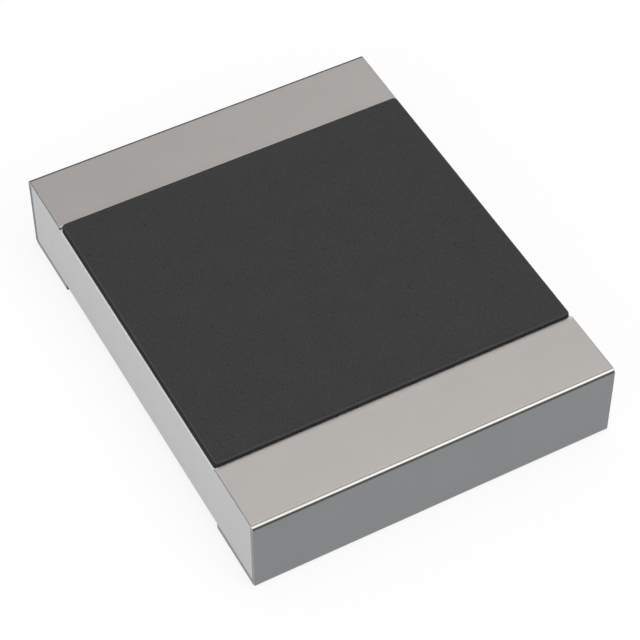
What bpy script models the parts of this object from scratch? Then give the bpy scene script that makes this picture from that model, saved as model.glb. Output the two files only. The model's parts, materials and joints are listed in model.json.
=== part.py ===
"""A thick film chip resistor of the 1210 case size, in metres with Z up.

X is the width, Y the length with the near end at minus Y, and the part stands on
Z = 0 on its two solderable ends.  Every layer is a body of its own, and each one
stands off its neighbours by the same small layer gap.
"""

import math

import bmesh
import bpy

MM = 0.001

# Whole part
LENGTH = 3.200 * MM
WIDTH = 2.500 * MM
TERMINAL_HEIGHT = 0.605 * MM
TERMINAL_LENGTH = 0.500 * MM
OVERCOAT_RISE = 0.030 * MM

# Layer gap between any two bodies
GAP = 0.0005 * MM

# Plating
TIN = 0.006 * MM
NICKEL = 0.005 * MM
TIN_SIDE_INSET = 0.002 * MM
TOP_END_RADIUS = 0.036 * MM
BOTTOM_END_RADIUS = 0.038 * MM
CORNER_RADIUS = 0.022 * MM
TOP_SIDE_RADIUS = 0.012 * MM
BOTTOM_SIDE_RADIUS = 0.010 * MM
PLATED = TIN + NICKEL + 2 * GAP

# Ceramic block, inside the metal over it, under it and at its ends
TOP_PLATE = 0.019 * MM
UNDER_WALL = 0.052 * MM
END_WALL = 0.040 * MM
END_CHAMFER = 0.014 * MM
SIDE_CHAMFER = 0.007 * MM
CERAMIC_HALF_LENGTH = LENGTH / 2 - END_WALL
CERAMIC_BOTTOM = UNDER_WALL
CERAMIC_TOP = TERMINAL_HEIGHT - TOP_PLATE

# Cover coat
OVERCOAT_SIDE_INSET = 0.014 * MM
OVERCOAT_EDGE_RADIUS = 0.016 * MM
OVERCOAT_CORNER_RADIUS = 0.030 * MM
OVERCOAT_END = LENGTH / 2 - TERMINAL_LENGTH

# Printed electrodes
ELECTRODE_SETBACK = 0.0195 * MM
TOP_ELECTRODE_COVERED = 0.306 * MM
TOP_ELECTRODE_TAPER = 0.015 * MM
TOP_ELECTRODE_SIDE_INSET = 0.021 * MM
BOTTOM_ELECTRODE = 0.011 * MM
BOTTOM_ELECTRODE_LENGTH = 0.415 * MM
ELECTRODE_TOP = TERMINAL_HEIGHT - PLATED
ELECTRODE_OUTER_END = CERAMIC_HALF_LENGTH - ELECTRODE_SETBACK
TOP_ELECTRODE_INNER_END = OVERCOAT_END - TOP_ELECTRODE_COVERED
TOP_ELECTRODE_HALF_WIDTH = WIDTH / 2 - TOP_ELECTRODE_SIDE_INSET
BOTTOM_ELECTRODE_INNER_END = ELECTRODE_OUTER_END - BOTTOM_ELECTRODE_LENGTH
BOTTOM_ELECTRODE_FACE = CERAMIC_BOTTOM - GAP - BOTTOM_ELECTRODE
LOWER_HALF_WIDTH = WIDTH / 2 - TIN_SIDE_INSET - PLATED

# End electrode that joins them
END_WRAP_SETBACK = 0.030 * MM
END_WRAP_INNER_END = BOTTOM_ELECTRODE_INNER_END + END_WRAP_SETBACK

# Resistive film and its glass
FILM = 0.010 * MM
FILM_OVERLAP = 0.120 * MM
FILM_SIDE_INSET = 0.195 * MM
FILM_SLOPE = 0.020 * MM
GLASS = 0.010 * MM
GLASS_MARGIN = 0.070 * MM
GLASS_SIDE_MARGIN = 0.060 * MM
FILM_END = TOP_ELECTRODE_INNER_END + FILM_OVERLAP
FILM_HALF_WIDTH = WIDTH / 2 - FILM_SIDE_INSET
GLASS_END = FILM_END + GLASS_MARGIN
GLASS_HALF_WIDTH = FILM_HALF_WIDTH + GLASS_SIDE_MARGIN

# Trim cut through film and glass, as a width and shares of the film between the pads
KERF = 0.045 * MM
KERF_ENTRY_Y = 0.30 * TOP_ELECTRODE_INNER_END
KERF_CORNER_X = -0.17 * FILM_HALF_WIDTH
KERF_FOOT_Y = -0.41 * TOP_ELECTRODE_INNER_END

# Flats in each rounded edge
OUTER_STEPS = 4
LAYER_STEPS = 3
SIDE_STEPS = 2
SMOOTH_ANGLE = math.radians(32)

NEAR = -1
FAR = 1
ENDS = (("near", NEAR), ("far", FAR))

# Finishes: linear colour, metallic share, roughness
FINISHES = {
    "alumina": ((0.62, 0.61, 0.58), 0.0, 0.55),
    "printed_silver": ((0.66, 0.64, 0.60), 1.0, 0.45),
    "ruthenium_film": ((0.035, 0.033, 0.032), 0.1, 0.50),
    "lead_glass": ((0.11, 0.16, 0.12), 0.0, 0.15),
    "black_epoxy": ((0.030, 0.030, 0.030), 0.0, 0.60),
    "end_silver": ((0.60, 0.59, 0.57), 1.0, 0.50),
    "nickel": ((0.52, 0.50, 0.46), 1.0, 0.35),
    "matte_tin": ((0.62, 0.61, 0.59), 1.0, 0.42),
}


def clear_scene():
    """Remove whatever the start-up scene holds."""
    for item in list(bpy.data.objects):
        bpy.data.objects.remove(item, do_unlink=True)


def finish(name):
    """The material of this name, made once."""
    found = bpy.data.materials.get(name)
    if found:
        return found
    colour, metallic, roughness = FINISHES[name]
    made = bpy.data.materials.new(name)
    made.use_nodes = True
    shader = made.node_tree.nodes["Principled BSDF"]
    shader.inputs["Base Color"].default_value = (*colour, 1.0)
    shader.inputs["Metallic"].default_value = metallic
    shader.inputs["Roughness"].default_value = roughness
    return made


def rounded(corners, steps=LAYER_STEPS):
    """A closed outline from (u, v, radius) corners, each radius turned into an arc of this many flats."""
    outline = []
    count = len(corners)
    for index, (u, v, radius) in enumerate(corners):
        if radius <= 0:
            outline.append((u, v))
            continue
        before = corners[index - 1]
        after = corners[(index + 1) % count]
        into = unit(before[0] - u, before[1] - v)
        out = unit(after[0] - u, after[1] - v)
        half = math.acos(max(-1.0, min(1.0, into[0] * out[0] + into[1] * out[1]))) / 2
        reach = radius / math.tan(half)
        middle = unit(into[0] + out[0], into[1] + out[1])
        centre_u = u + middle[0] * radius / math.sin(half)
        centre_v = v + middle[1] * radius / math.sin(half)
        start = math.atan2(v + into[1] * reach - centre_v, u + into[0] * reach - centre_u)
        end = math.atan2(v + out[1] * reach - centre_v, u + out[0] * reach - centre_u)
        sweep = (end - start + math.pi) % (2 * math.pi) - math.pi
        for step in range(steps + 1):
            angle = start + sweep * step / steps
            outline.append((centre_u + radius * math.cos(angle), centre_v + radius * math.sin(angle)))
    return outline


def unit(u, v):
    """The direction of (u, v)."""
    size = math.hypot(u, v)
    return u / size, v / size


def rectangle(low_u, high_u, low_v, high_v, radius=0.0):
    """A rectangular outline with equal corner radii."""
    return rounded([
        (low_u, low_v, radius),
        (high_u, low_v, radius),
        (high_u, high_v, radius),
        (low_u, high_v, radius),
    ])


def taper_at(height, clear=0.0):
    """Where the tapered inner end of a top pad, grown by a clearance, reaches this height."""
    rise = ELECTRODE_TOP - CERAMIC_TOP - GAP
    slant = math.hypot(TOP_ELECTRODE_TAPER, rise)
    toe = TOP_ELECTRODE_INNER_END - TOP_ELECTRODE_TAPER - clear * slant / rise
    return toe + (height - CERAMIC_TOP - GAP) * TOP_ELECTRODE_TAPER / rise


def facing(outline, end):
    """A length-and-height outline drawn for the far end, turned to face the end asked for."""
    return [(end * y, z) for y, z in outline]


def mesh_object(name, points, faces):
    """An object with outward normals from points and faces."""
    mesh = bpy.data.meshes.new(name)
    mesh.from_pydata(points, [], faces)
    work = bmesh.new()
    work.from_mesh(mesh)
    bmesh.ops.recalc_face_normals(work, faces=work.faces)
    if work.calc_volume(signed=True) < 0:
        bmesh.ops.reverse_faces(work, faces=work.faces)
    work.to_mesh(mesh)
    work.free()
    mesh.polygons.foreach_set("use_smooth", [True] * len(mesh.polygons))
    mesh.set_sharp_from_angle(angle=SMOOTH_ANGLE)
    item = bpy.data.objects.new(name, mesh)
    bpy.context.scene.collection.objects.link(item)
    return item


def prism(name, outline, axis, start, end):
    """An outline carried along one axis.  Across X it reads (y, z), across Y (x, z), across Z (x, y)."""
    place = {
        "X": lambda a, b, along: (along, a, b),
        "Y": lambda a, b, along: (a, along, b),
        "Z": lambda a, b, along: (a, b, along),
    }[axis]
    count = len(outline)
    points = [place(a, b, start) for a, b in outline]
    points += [place(a, b, end) for a, b in outline]
    faces = [tuple(range(count)), tuple(range(2 * count - 1, count - 1, -1))]
    for index in range(count):
        after = (index + 1) % count
        faces.append((index, after, count + after, count + index))
    return mesh_object(name, points, faces)


def loft(name, rings):
    """A body through rings of equally many points, closed by its first and last ring."""
    count = len(rings[0])
    points = [point for ring in rings for point in ring]
    faces = [tuple(range(count)), tuple(range(len(points) - 1, len(points) - count - 1, -1))]
    for level in range(len(rings) - 1):
        low = level * count
        for index in range(count):
            after = (index + 1) % count
            faces.append((low + index, low + after, low + count + after, low + count + index))
    return mesh_object(name, points, faces)


def helper(item):
    """Mark a body as a cutter, which is no piece of the part."""
    item.hide_render = True
    item.display_type = "WIRE"
    return item


def combine(body, other, operation):
    """Cut the body by a helper, or keep what they share."""
    change = body.modifiers.new(f"{operation.lower()}_{other.name}", "BOOLEAN")
    change.operation = operation
    change.solver = "EXACT"
    change.object = helper(other)
    return body


def made_of(item, name):
    """Give a body its finish."""
    item.data.materials.append(finish(name))
    return item


# Ceramic block

def ceramic_substrate():
    """The alumina block: its length section, kept inside its width section."""
    ends = END_CHAMFER
    length_section = [
        (-CERAMIC_HALF_LENGTH + ends, CERAMIC_BOTTOM),
        (CERAMIC_HALF_LENGTH - ends, CERAMIC_BOTTOM),
        (CERAMIC_HALF_LENGTH, CERAMIC_BOTTOM + ends),
        (CERAMIC_HALF_LENGTH, CERAMIC_TOP - ends),
        (CERAMIC_HALF_LENGTH - ends, CERAMIC_TOP),
        (-CERAMIC_HALF_LENGTH + ends, CERAMIC_TOP),
        (-CERAMIC_HALF_LENGTH, CERAMIC_TOP - ends),
        (-CERAMIC_HALF_LENGTH, CERAMIC_BOTTOM + ends),
    ]
    half = WIDTH / 2
    side = SIDE_CHAMFER
    width_section = [
        (-half + side, CERAMIC_BOTTOM),
        (half - side, CERAMIC_BOTTOM),
        (half, CERAMIC_BOTTOM + side),
        (half, CERAMIC_TOP - side),
        (half - side, CERAMIC_TOP),
        (-half + side, CERAMIC_TOP),
        (-half, CERAMIC_TOP - side),
        (-half, CERAMIC_BOTTOM + side),
    ]
    block = prism("ceramic_substrate", length_section, "X", -half * 1.2, half * 1.2)
    across = prism("cut_ceramic_width", width_section, "Y", -LENGTH, LENGTH)
    return made_of(combine(block, across, "INTERSECT"), "alumina")


# Printed electrodes

def top_electrode(name, end, clear=0.0):
    """A printed top pad with a tapered inner end, grown by a clearance when it serves as a cutter."""
    low = CERAMIC_TOP + GAP - clear
    high = ELECTRODE_TOP + clear
    outline = [
        (taper_at(low, clear), low),
        (ELECTRODE_OUTER_END + clear, low),
        (ELECTRODE_OUTER_END + clear, high),
        (taper_at(high, clear), high),
    ]
    half = TOP_ELECTRODE_HALF_WIDTH + clear
    return prism(name, facing(outline, end), "X", -half, half)


def bottom_electrode(name, end, clear=0.0):
    """A printed pad under the block."""
    outline = [
        (BOTTOM_ELECTRODE_INNER_END - clear, BOTTOM_ELECTRODE_FACE - clear),
        (ELECTRODE_OUTER_END + clear, BOTTOM_ELECTRODE_FACE - clear),
        (ELECTRODE_OUTER_END + clear, CERAMIC_BOTTOM - GAP + clear),
        (BOTTOM_ELECTRODE_INNER_END - clear, CERAMIC_BOTTOM - GAP + clear),
    ]
    half = LOWER_HALF_WIDTH + clear
    return prism(name, facing(outline, end), "X", -half, half)


# End electrode and plating

def plan_of(half_width, half_length, radius):
    """The plan of a whole layer, with rounded corners."""
    return rectangle(-half_width, half_width, -half_length, half_length, radius)


def end_electrode(name, end, clear=0.0):
    """The inner end layer: flush with the top pad, down the end face and under the bottom pad."""
    face = LENGTH / 2 - PLATED + clear
    low = PLATED - clear
    high = ELECTRODE_TOP + clear
    wall = CERAMIC_HALF_LENGTH + GAP - clear
    roof = CERAMIC_TOP + GAP - clear
    floor = CERAMIC_BOTTOM - GAP + clear
    lip = ELECTRODE_OUTER_END + GAP - clear
    outline = rounded([
        (END_WRAP_INNER_END - clear, low, 0),
        (face, low, BOTTOM_END_RADIUS - PLATED + clear),
        (face, high, TOP_END_RADIUS - PLATED + clear),
        (lip, high, 0),
        (lip, roof, 0),
        (wall - END_CHAMFER, roof, 0),
        (wall, roof - END_CHAMFER, 0),
        (wall, floor + END_CHAMFER, 0),
        (wall - END_CHAMFER, floor, 0),
        (lip, floor, 0),
        (lip, BOTTOM_ELECTRODE_FACE - GAP + clear, 0),
        (END_WRAP_INNER_END - clear, BOTTOM_ELECTRODE_FACE - GAP + clear, 0),
    ])
    half = LOWER_HALF_WIDTH + clear
    body = prism(name, facing(outline, end), "X", -half * 1.1, half * 1.1)
    plan = prism(
        f"cut_plan_{name}",
        plan_of(half, face, CORNER_RADIUS - PLATED + clear),
        "Z",
        -TERMINAL_HEIGHT,
        2 * TERMINAL_HEIGHT,
    )
    return combine(body, plan, "INTERSECT")


def shell_outline(depth, bottom_end, end, steps=LAYER_STEPS):
    """A three-sided layer whose outer face lies this far inside the finished terminal."""
    face = LENGTH / 2 - depth
    low = depth
    high = TERMINAL_HEIGHT - depth
    wall = CERAMIC_HALF_LENGTH + GAP
    roof = CERAMIC_TOP + GAP
    floor = CERAMIC_BOTTOM - GAP
    outline = rounded([
        (bottom_end, low, 0),
        (face, low, BOTTOM_END_RADIUS - depth),
        (face, high, TOP_END_RADIUS - depth),
        (OVERCOAT_END + GAP, high, 0),
        (OVERCOAT_END + GAP, roof, 0),
        (wall - END_CHAMFER, roof, 0),
        (wall, roof - END_CHAMFER, 0),
        (wall, floor + END_CHAMFER, 0),
        (wall - END_CHAMFER, floor, 0),
        (bottom_end, floor, 0),
    ], steps)
    return facing(outline, end)


def solid_outline(depth, bottom_end, end):
    """The same outer face with everything inside it filled, for cutting the layer outside it."""
    face = LENGTH / 2 - depth
    outline = rounded([
        (bottom_end, depth, 0),
        (face, depth, BOTTOM_END_RADIUS - depth),
        (face, TERMINAL_HEIGHT - depth, TOP_END_RADIUS - depth),
        (OVERCOAT_END - 20 * GAP, TERMINAL_HEIGHT - depth, 0),
        (OVERCOAT_END - 20 * GAP, TERMINAL_HEIGHT / 2, 0),
        (bottom_end, TERMINAL_HEIGHT / 2, 0),
    ])
    return facing(outline, end)


NICKEL_DEPTH = TIN + GAP
NICKEL_BOTTOM_END = BOTTOM_ELECTRODE_INNER_END - GAP - NICKEL
TIN_BOTTOM_END = NICKEL_BOTTOM_END - GAP - TIN


def plated_half_width(depth):
    """The half width of a layer whose outer face lies this deep."""
    return WIDTH / 2 - TIN_SIDE_INSET - depth


def layer_plan(name, depth):
    """The rounded plan that a plated layer keeps to."""
    outline = plan_of(plated_half_width(depth), LENGTH / 2 - depth, CORNER_RADIUS - depth)
    return prism(f"cut_plan_{name}", outline, "Z", -TERMINAL_HEIGHT, 2 * TERMINAL_HEIGHT)


def nickel_barrier(name, end):
    """The barrier plated over an end, closed round the sides of the layers inside it."""
    half = plated_half_width(NICKEL_DEPTH)
    outline = shell_outline(NICKEL_DEPTH, NICKEL_BOTTOM_END, end)
    body = prism(name, outline, "X", -half * 1.1, half * 1.1)
    combine(body, layer_plan(name, NICKEL_DEPTH), "INTERSECT")
    combine(body, end_electrode(f"cut_end_{name}", end, GAP), "DIFFERENCE")
    combine(body, top_electrode(f"cut_top_{name}", end, GAP), "DIFFERENCE")
    combine(body, bottom_electrode(f"cut_bottom_{name}", end, GAP), "DIFFERENCE")
    return made_of(body, "nickel")


def tin_plating(name, end):
    """The outer plating, closed round the sides of the barrier."""
    half = plated_half_width(0.0)
    outline = shell_outline(0.0, TIN_BOTTOM_END, end, OUTER_STEPS)
    body = prism(name, outline, "X", -half * 1.1, half * 1.1)
    combine(body, layer_plan(name, 0.0), "INTERSECT")
    width_section = rounded([
        (-half, 0.0, BOTTOM_SIDE_RADIUS),
        (half, 0.0, BOTTOM_SIDE_RADIUS),
        (half, TERMINAL_HEIGHT, TOP_SIDE_RADIUS),
        (-half, TERMINAL_HEIGHT, TOP_SIDE_RADIUS),
    ], SIDE_STEPS)
    across = prism(f"cut_width_{name}", width_section, "Y", -LENGTH, LENGTH)
    combine(body, across, "INTERSECT")
    inner_half = plated_half_width(TIN)
    inner = prism(
        f"cut_inner_{name}",
        solid_outline(TIN, NICKEL_BOTTOM_END - GAP, end),
        "X",
        -inner_half * 1.1,
        inner_half * 1.1,
    )
    combine(inner, layer_plan(f"inner_{name}", TIN), "INTERSECT")
    combine(body, inner, "DIFFERENCE")
    return made_of(body, "matte_tin")


# Resistive film, its glass and the trim cut

def draped(thickness_below, thickness, end_at, slope):
    """The length section of a layer that lies on the block and over the inner ends of the top pads."""
    block = CERAMIC_TOP + GAP
    step = ELECTRODE_TOP - CERAMIC_TOP
    top = block + thickness_below + thickness
    over = top + step
    inner = TOP_ELECTRODE_INNER_END
    return [
        (-end_at, over),
        (-inner, over),
        (-inner + slope, top),
        (inner - slope, top),
        (inner, over),
        (end_at, over),
    ]


def film_body(name, clear=0.0):
    """The resistive film before trimming, lying on the block and over both top pads."""
    end_at = FILM_END + clear
    top = [(y, z + clear) for y, z in draped(0.0, FILM, end_at, FILM_SLOPE)]
    over = ELECTRODE_TOP + GAP - clear
    low = CERAMIC_TOP + GAP - clear
    inner = taper_at(over, GAP - clear)
    foot = taper_at(low, GAP - clear)
    under = [
        (end_at, over),
        (inner, over),
        (foot, low),
        (-foot, low),
        (-inner, over),
        (-end_at, over),
    ]
    half = FILM_HALF_WIDTH + clear
    return prism(name, top + under, "X", -half, half)


def glass_body(name, clear=0.0):
    """The glass before trimming: over the film, past its ends and down its sides."""
    crest = draped(FILM + GAP, GLASS, FILM_END, 1.5 * FILM_SLOPE)
    toe = ELECTRODE_TOP + GAP + GLASS / 2
    top = [(-GLASS_END - clear, toe + clear)]
    top += [(y, z + clear) for y, z in crest]
    top += [(GLASS_END + clear, toe + clear)]
    low = CERAMIC_TOP + GAP - clear
    under = [(GLASS_END + clear, low), (-GLASS_END - clear, low)]
    half = GLASS_HALF_WIDTH + clear
    return prism(name, top + under, "X", -half, half)


def trim_cut(name, clear=0.0):
    """The L-shaped path of the trim cut: in from one side, then along the length."""
    reach = KERF / 2 - clear
    outside = WIDTH / 2
    path = [
        (outside, KERF_ENTRY_Y - reach),
        (outside, KERF_ENTRY_Y + reach),
        (KERF_CORNER_X - reach, KERF_ENTRY_Y + reach),
        (KERF_CORNER_X - reach, KERF_FOOT_Y + clear),
        (KERF_CORNER_X + reach, KERF_FOOT_Y + clear),
        (KERF_CORNER_X + reach, KERF_ENTRY_Y - reach),
    ]
    return prism(name, path, "Z", CERAMIC_TOP - TIN, TERMINAL_HEIGHT + OVERCOAT_RISE)


def resistive_film():
    """The trimmed film."""
    body = film_body("resistive_film")
    combine(body, trim_cut("cut_trim_film"), "DIFFERENCE")
    return made_of(body, "ruthenium_film")


def cut_pads(body, tag, clear):
    """Clear a body of both top pads."""
    for word, end in ENDS:
        combine(body, top_electrode(f"cut_pad_{tag}_{word}", end, clear), "DIFFERENCE")
    return body


def primary_glass():
    """The trimmed glass, fitted over the film and the pads."""
    body = glass_body("primary_glass")
    cut_pads(body, "glass", GAP)
    combine(body, film_body("cut_film_glass", GAP), "DIFFERENCE")
    combine(body, trim_cut("cut_trim_glass"), "DIFFERENCE")
    return made_of(body, "lead_glass")


# Cover coat

def cover_ring(inset, height):
    """The cover's plan at one height."""
    half_width = WIDTH / 2 - OVERCOAT_SIDE_INSET - inset
    half_length = OVERCOAT_END - inset
    radius = OVERCOAT_CORNER_RADIUS - 0.5 * inset
    plan = plan_of(half_width, half_length, radius)
    return [(x, y, height) for x, y in plan]


def overcoat():
    """The cover coat, level on top and rounded along its upper edge, poured over all that is under it."""
    crown = TERMINAL_HEIGHT + OVERCOAT_RISE
    spring = crown - OVERCOAT_EDGE_RADIUS
    rings = [cover_ring(0.0, CERAMIC_TOP + GAP), cover_ring(0.0, spring)]
    for step in range(1, OUTER_STEPS + 1):
        angle = math.pi / 2 * step / OUTER_STEPS
        inset = OVERCOAT_EDGE_RADIUS * (1 - math.cos(angle))
        rings.append(cover_ring(inset, spring + OVERCOAT_EDGE_RADIUS * math.sin(angle)))
    body = loft("overcoat", rings)
    cut_pads(body, "cover", GAP)
    glass = glass_body("cut_glass_cover", GAP)
    combine(glass, trim_cut("cut_trim_cover", GAP), "DIFFERENCE")
    combine(body, glass, "DIFFERENCE")
    return made_of(body, "black_epoxy")


def build():
    """Make every body of the part."""
    clear_scene()
    ceramic_substrate()
    for word, end in ENDS:
        made_of(top_electrode(f"top_electrode_{word}", end), "printed_silver")
        made_of(bottom_electrode(f"bottom_electrode_{word}", end), "printed_silver")
        made_of(end_electrode(f"end_electrode_{word}", end), "end_silver")
        nickel_barrier(f"nickel_barrier_{word}", end)
        tin_plating(f"tin_plating_{word}", end)
    resistive_film()
    primary_glass()
    overcoat()


build()
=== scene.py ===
"""Looks of a thick film chip resistor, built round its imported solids."""

import json
import logging
import math
from dataclasses import dataclass, field
from enum import Enum
from typing import Any, Iterable, Sequence

import bmesh
import bpy
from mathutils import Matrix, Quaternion, Vector, noise


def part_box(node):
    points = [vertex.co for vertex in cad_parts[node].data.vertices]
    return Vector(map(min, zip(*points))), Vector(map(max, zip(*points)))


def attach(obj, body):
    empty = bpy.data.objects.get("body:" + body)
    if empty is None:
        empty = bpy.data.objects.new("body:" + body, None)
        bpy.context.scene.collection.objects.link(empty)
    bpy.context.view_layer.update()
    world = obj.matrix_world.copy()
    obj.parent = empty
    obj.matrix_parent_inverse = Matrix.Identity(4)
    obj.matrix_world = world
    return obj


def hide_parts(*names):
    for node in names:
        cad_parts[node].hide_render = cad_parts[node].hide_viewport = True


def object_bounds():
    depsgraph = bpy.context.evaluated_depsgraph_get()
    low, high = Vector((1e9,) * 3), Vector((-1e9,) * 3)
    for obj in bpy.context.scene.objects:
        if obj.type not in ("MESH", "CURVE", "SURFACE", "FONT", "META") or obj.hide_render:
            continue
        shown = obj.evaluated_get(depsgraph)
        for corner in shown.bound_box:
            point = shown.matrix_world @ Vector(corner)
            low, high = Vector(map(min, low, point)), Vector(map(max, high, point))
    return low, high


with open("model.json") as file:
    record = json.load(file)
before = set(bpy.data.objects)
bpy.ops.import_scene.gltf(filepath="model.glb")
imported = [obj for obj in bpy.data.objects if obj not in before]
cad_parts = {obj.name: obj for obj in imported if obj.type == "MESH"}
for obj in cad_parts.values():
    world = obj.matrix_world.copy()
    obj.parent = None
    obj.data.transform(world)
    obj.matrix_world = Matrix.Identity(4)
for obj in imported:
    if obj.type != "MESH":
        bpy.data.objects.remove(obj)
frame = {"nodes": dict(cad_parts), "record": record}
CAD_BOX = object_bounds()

log = logging.getLogger("chip")

Pair = tuple[float, float]
Point = tuple[float, float, float]
Colour = tuple[float, float, float]

MM = 0.001
MICRON = 0.001 * MM
QUARTER = math.pi / 2
BODY = "root"

# The gap between two layers that touch, as on the solids
LAYER_GAP = 0.5 * MICRON

# How far the ceramic block and the cover coat sit towards the near end, and the cover to the left
BLOCK_SHIFT = 6 * MICRON
COVER_SHIFT = 2 * MICRON
COVER_SLIP = 1 * MICRON

# Places on the solids that the finishes and the neighbouring pieces go by
COVER_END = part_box("overcoat")[1].y
BLOCK_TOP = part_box("ceramic_substrate")[1].z
PLATE_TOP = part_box("tin_plating_near")[1].z
PART_END = CAD_BOX[1].y

# The middle value of the noise that grain is made of
MIDDLE = 0.5

# How far a flat stretch keeps an extra row of points from the bend beside it
HOLD = 1.5 * MICRON

# From which angle between two faces their edge shows as a sharp one
SHARP = math.radians(35)


# Shader maths


def srgb(red: float, green: float, blue: float) -> Colour:
    """A linear colour from display values of 0 to 255, by the standard curve.

    Args:
        red: Display red.
        green: Display green.
        blue: Display blue.

    Returns:
        The same colour in linear light.
    """
    def channel(value: float) -> float:
        """One channel in linear light."""
        share = value / 255
        return share / 12.92 if share <= 0.04045 else ((share + 0.055) / 1.055) ** 2.4

    return channel(red), channel(green), channel(blue)


def toned(colour: Colour, factor: float) -> Colour:
    """A plain colour made lighter or darker by a factor."""
    return colour[0] * factor, colour[1] * factor, colour[2] * factor


class Signal:
    """One output socket of a node, with arithmetic that adds the Math nodes it needs."""

    def __init__(self, graph: "Graph", node: bpy.types.Node, output: int | str) -> None:
        """Keep the socket and the graph that it belongs to.

        Args:
            graph: The graph that new nodes go into.
            node: The node that gives the value.
            output: The output's name or place.
        """
        self.graph = graph
        self.node = node
        self.socket = node.outputs[output]

    def out(self, output: int | str) -> "Signal":
        """Another output of the same node."""
        return Signal(self.graph, self.node, output)

    def math(self, operation: str, *values: "Signal | float") -> "Signal":
        """A Math node on these values.

        Args:
            operation: The node's operation.
            *values: Its inputs, in order.

        Returns:
            The node's result.
        """
        return self.graph.add("ShaderNodeMath", {"operation": operation}, dict(enumerate(values)))

    def __add__(self, other: "Signal | float") -> "Signal":
        """self + other."""
        return self.math("ADD", self, other)

    def __radd__(self, other: "Signal | float") -> "Signal":
        """other + self."""
        return self.math("ADD", other, self)

    def __sub__(self, other: "Signal | float") -> "Signal":
        """self - other."""
        return self.math("SUBTRACT", self, other)

    def __rsub__(self, other: "Signal | float") -> "Signal":
        """other - self."""
        return self.math("SUBTRACT", other, self)

    def __mul__(self, other: "Signal | float") -> "Signal":
        """self * other."""
        return self.math("MULTIPLY", self, other)

    def __rmul__(self, other: "Signal | float") -> "Signal":
        """other * self."""
        return self.math("MULTIPLY", other, self)

    def __abs__(self) -> "Signal":
        """The size of self."""
        return self.math("ABSOLUTE", self)

    def largest(self, other: "Signal | float") -> "Signal":
        """The larger of two values."""
        return self.math("MAXIMUM", self, other)

    def past(self, fade: Pair, place: float = 0.0) -> "Signal":
        """A smooth rise from 0 to 1 across a fade.

        Args:
            fade: Where the rise starts and ends, counted from the place.
            place: The place.

        Returns:
            The eased share.
        """
        settings = {"interpolation_type": "SMOOTHSTEP"}
        values = {"Value": self, "From Min": place + fade[0], "From Max": place + fade[1]}
        return self.graph.add("ShaderNodeMapRange", settings, values)

    def within(self, rise: Pair, fall: Pair) -> "Signal":
        """1 between two fades and 0 outside them."""
        return self.past(rise) * (1 - self.past(fall))

    def blend(self, low: float, high: float) -> "Signal":
        """A number that goes from low to high as this share goes from 0 to 1."""
        return low + (high - low) * self


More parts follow.
